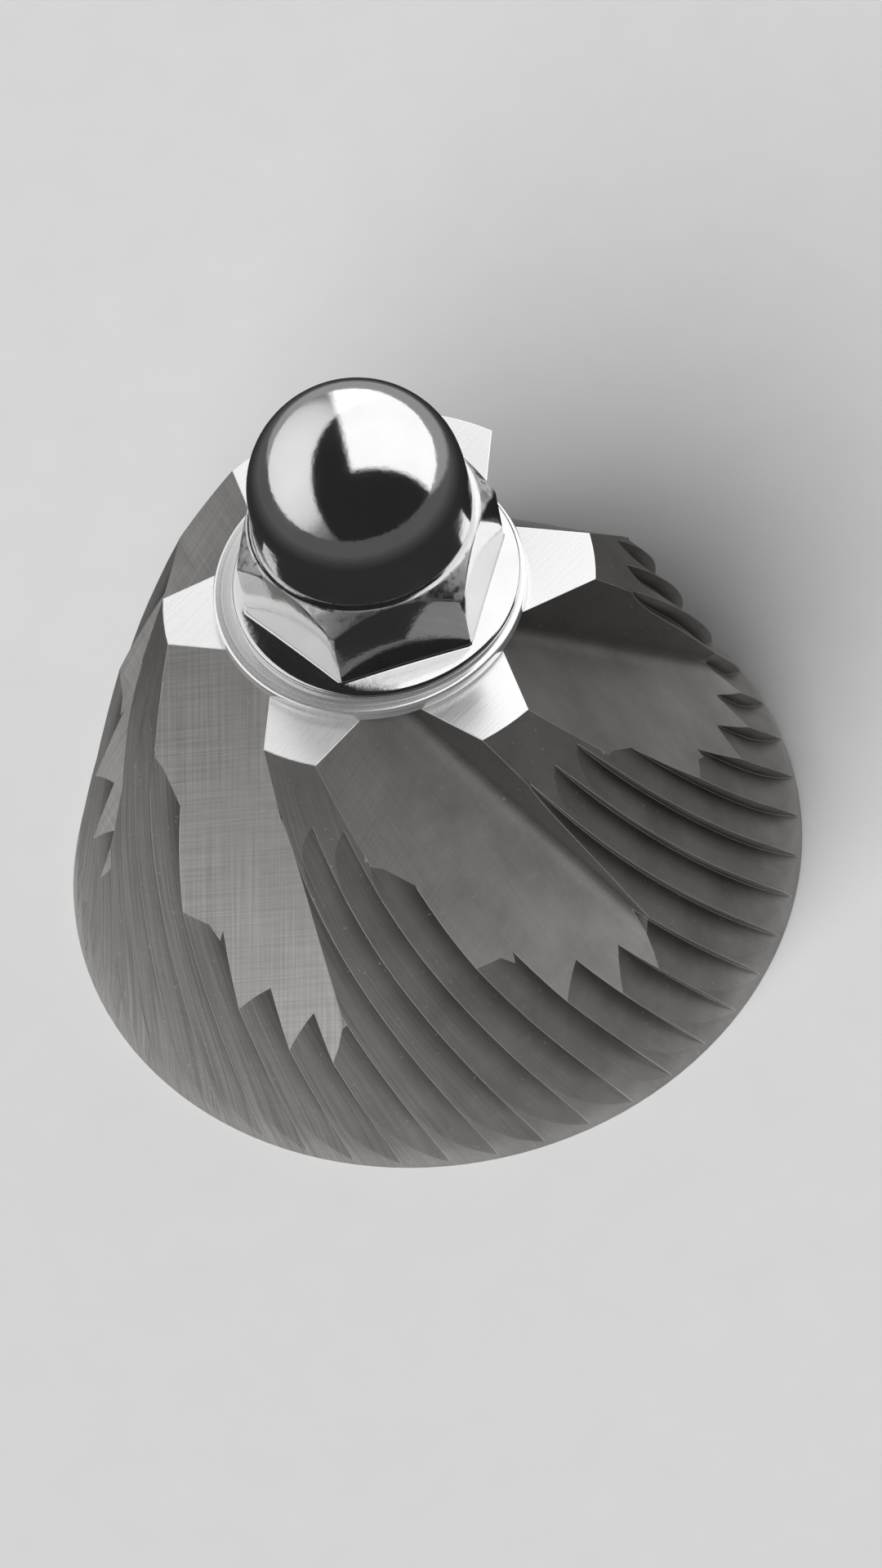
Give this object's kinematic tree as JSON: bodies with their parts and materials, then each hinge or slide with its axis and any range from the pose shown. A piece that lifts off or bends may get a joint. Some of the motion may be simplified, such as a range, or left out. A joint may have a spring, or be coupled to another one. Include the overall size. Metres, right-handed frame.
{
  "type": "conical grinding burr",
  "caption": "Conical steel grinding burr with slanting flutes and fine saw teeth, held down by a flat washer and a flanged dome nut. It turns inside a ring burr to crush coffee beans.",
  "frame": {"origin": "centre of the flat base of the burr, on the axis of its bore", "axes": "+Z along the axis, from the wide base up to the dome nut"},
  "size_m": [0.0424, 0.0424, 0.0426],
  "materials": {
    "burr_steel": "satin, milled and ground",
    "washer_steel": "bright",
    "nut_chrome": "polished"
  },
  "bodies": {
    "root": {"burr": "burr_steel", "washer": "washer_steel", "cap_nut": "nut_chrome"}
  },
  "joints": []
}
